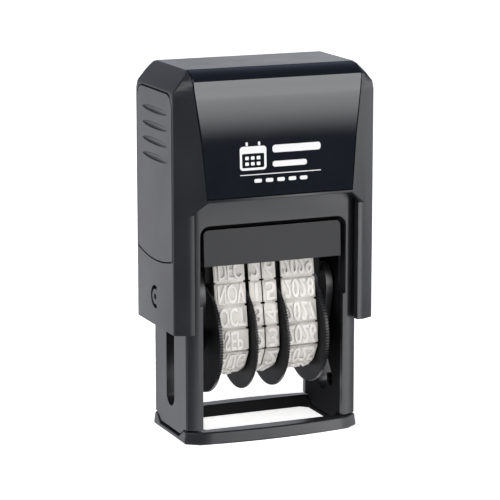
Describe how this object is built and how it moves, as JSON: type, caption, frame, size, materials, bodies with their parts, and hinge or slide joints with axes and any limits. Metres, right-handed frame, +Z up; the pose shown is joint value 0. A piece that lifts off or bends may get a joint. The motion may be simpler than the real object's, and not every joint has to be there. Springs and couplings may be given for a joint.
{
  "type": "rotary date stamp",
  "caption": "Self-inking hand dater: a sprung cap turns a carriage of date bands and a text plate from the ink cartridge down to the paper.",
  "frame": {"origin": "centre of the underside, on the surface that the stamp stands on", "axes": "+Z up through the cap, -Y out of the front with the label window and the date wheels, +X to the right seen from the front"},
  "size_m": [0.046, 0.0282, 0.08],
  "materials": {
    "body_black": "satin moulded plastic",
    "gloss_black": "polished",
    "card_black": "printed card",
    "wheel_black": "satin moulded plastic",
    "band_ivory": "matt moulded rubber",
    "rubber_grey": "matt moulded rubber",
    "felt_ink": "ink-soaked felt",
    "steel": "drawn wire and turned rod"
  },
  "bodies": {
    "base": {"base_frame": "body_black", "foot_frame": "body_black", "return_spring": "steel"},
    "cap": {"cap_shell": "body_black", "grip_panel_left": "body_black", "grip_panel_right": "body_black", "label_window": "gloss_black", "label_card": "card_black"},
    "ink_cartridge": {"ink_tray": "body_black", "ink_felt": "felt_ink"},
    "carriage": {"carriage_yoke": "wheel_black", "date_anvil": "wheel_black", "text_holder": "wheel_black", "text_plate": "rubber_grey", "pivot_pin_left": "steel", "pivot_pin_right": "steel", "wheel_axle": "steel", "month_band": "band_ivory", "tens_band": "band_ivory", "units_band": "band_ivory", "year_band": "band_ivory"},
    "month_setter": {"month_wheel": "wheel_black"},
    "tens_setter": {"tens_wheel": "wheel_black"},
    "units_setter": {"units_wheel": "wheel_black"},
    "year_setter": {"year_wheel": "wheel_black"}
  },
  "joints": [
    {"name": "cap_press", "type": "slide", "parent": "base", "child": "cap", "axis": [0, 0, -1], "range_m": [0, 0.0214], "stiffness_N_per_m": 300, "springref_m": -0.01, "deforming": ["return_spring"]},
    {"name": "carriage_flip", "type": "hinge", "parent": "cap", "child": "carriage", "pos_m": [0, 0, 0.0306], "axis": [-1, 0, 0], "range_deg": [0, 180]},
    {"name": "cartridge_slide", "type": "slide", "parent": "base", "child": "ink_cartridge", "axis": [0, -1, 0], "range_m": [0, 0.03]},
    {"name": "month_turn", "type": "hinge", "parent": "carriage", "child": "month_setter", "pos_m": [-0.0095, 0, 0.0208], "axis": [1, 0, 0], "continuous": true},
    {"name": "tens_turn", "type": "hinge", "parent": "carriage", "child": "tens_setter", "pos_m": [-0.0032, 0, 0.0208], "axis": [1, 0, 0], "continuous": true},
    {"name": "units_turn", "type": "hinge", "parent": "carriage", "child": "units_setter", "pos_m": [0.001, 0, 0.0208], "axis": [1, 0, 0], "continuous": true},
    {"name": "year_turn", "type": "hinge", "parent": "carriage", "child": "year_setter", "pos_m": [0.0078, 0, 0.0208], "axis": [1, 0, 0], "continuous": true}
  ],
  "couplings": [
    {"joint": "carriage_flip", "follows": "cap_press", "rad_per_m": 146.8}
  ]
}
